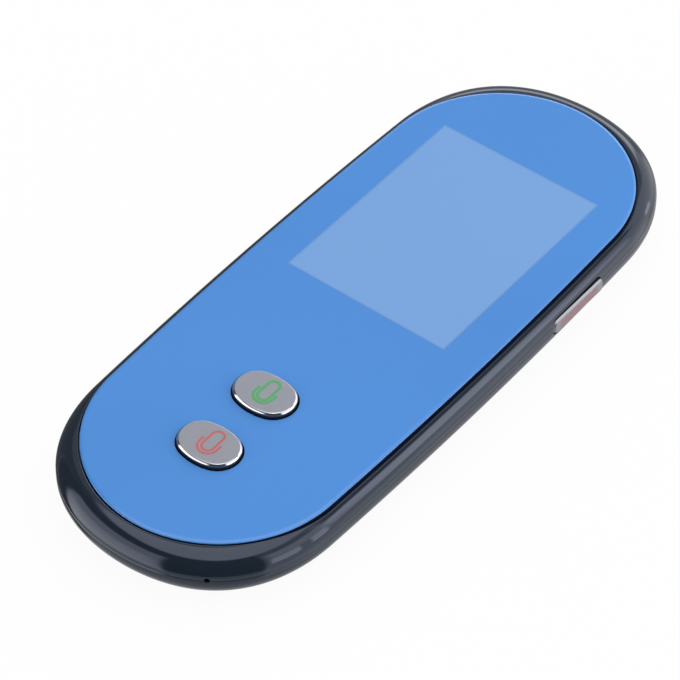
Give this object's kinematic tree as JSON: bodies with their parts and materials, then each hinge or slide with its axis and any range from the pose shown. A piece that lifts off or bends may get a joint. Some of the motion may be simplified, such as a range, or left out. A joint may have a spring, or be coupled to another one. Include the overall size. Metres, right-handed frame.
{
  "type": "handheld translator",
  "caption": "Slim oval-ended pocket translator with a full-face cover glass over a display, oval talk keys on the front and a power key on the side.",
  "frame": {"origin": "middle of the flat back the part lies on", "axes": "+Z out of the glass side, +Y towards the display end, +X towards the power key"},
  "size_m": [0.0536, 0.1337, 0.0126],
  "materials": {
    "housing_plastic": "moulded, high gloss, blue-black",
    "cover_glass": "toughened glass printed blue on its inner face",
    "black_adhesive": "black adhesive film and foam tape",
    "display_glass": "display sandwich, lit pale blue",
    "tray_steel": "thin pressed steel",
    "ribbon": "amber polyimide film",
    "ivory_plastic": "heat-resistant connector plastic",
    "key_metal": "satin anodised, bright bevel",
    "key_plastic": "moulded, black",
    "plunger_plastic": "natural nylon",
    "switch_plastic": "moulded, dark grey",
    "power_metal": "polished and anodised",
    "power_inlay": "dull red, finely ribbed",
    "board_laminate": "glass-fibre laminate with green solder mask",
    "chip_plastic": "moulded chip package",
    "shield_steel": "tinned steel sheet",
    "small_parts": "ceramic and metal end caps",
    "socket_steel": "drawn steel, nickel plated",
    "capsule_metal": "spun aluminium can",
    "boot_rubber": "moulded silicone",
    "speaker_plastic": "moulded frame",
    "gasket_foam": "closed-cell foam",
    "mesh_steel": "woven steel, blackened",
    "contact_brass": "gold-plated springs",
    "pouch_foil": "aluminium laminate foil",
    "strip_tape": "yellow insulating tape over a narrow board",
    "battery_adhesive": "white stretch-release tape",
    "lead_insulation": "red insulation",
    "screw_steel": "zinc plated"
  },
  "bodies": {
    "housing": {"back_cover": "housing_plastic", "front_shell": "housing_plastic", "cover_glass": "cover_glass", "glass_adhesive": "black_adhesive", "display_tape": "black_adhesive", "lcd_panel": "display_glass", "backlight_tray": "tray_steel", "display_flex": "ribbon", "flex_connector": "ivory_plastic", "upper_key_switch": "switch_plastic", "lower_key_switch": "switch_plastic", "power_switch": "switch_plastic", "main_board": "board_laminate", "processor": "chip_plastic", "memory_chip": "chip_plastic", "shield_can": "shield_steel", "radio_module": "shield_steel", "board_components": "small_parts", "usb_shell": "socket_steel", "usb_tongue": "chip_plastic", "microphone": "capsule_metal", "microphone_boot": "boot_rubber", "loudspeaker": "speaker_plastic", "speaker_gasket": "gasket_foam", "speaker_mesh": "mesh_steel", "speaker_contacts": "contact_brass", "battery_pouch": "pouch_foil", "battery_strip": "strip_tape", "battery_tape": "battery_adhesive", "battery_leads": "lead_insulation", "battery_socket": "ivory_plastic", "case_screws": "screw_steel"},
    "upper_talk_key": {"upper_key_cap": "key_metal", "upper_key_carrier": "key_plastic", "upper_key_plunger": "plunger_plastic"},
    "lower_talk_key": {"lower_key_cap": "key_metal", "lower_key_carrier": "key_plastic", "lower_key_plunger": "plunger_plastic"},
    "power_button": {"power_key": "power_metal", "power_key_inlay": "power_inlay", "power_plunger": "plunger_plastic"}
  },
  "joints": [
    {"name": "upper_key_press", "type": "slide", "parent": "housing", "child": "upper_talk_key", "axis": [0, 0, -1], "range_m": [0, 0.0004], "stiffness_N_per_m": 600},
    {"name": "lower_key_press", "type": "slide", "parent": "housing", "child": "lower_talk_key", "axis": [0, 0, -1], "range_m": [0, 0.0004], "stiffness_N_per_m": 600},
    {"name": "power_key_press", "type": "slide", "parent": "housing", "child": "power_button", "axis": [-1, 0, 0], "range_m": [0, 0.00035], "stiffness_N_per_m": 600}
  ]
}
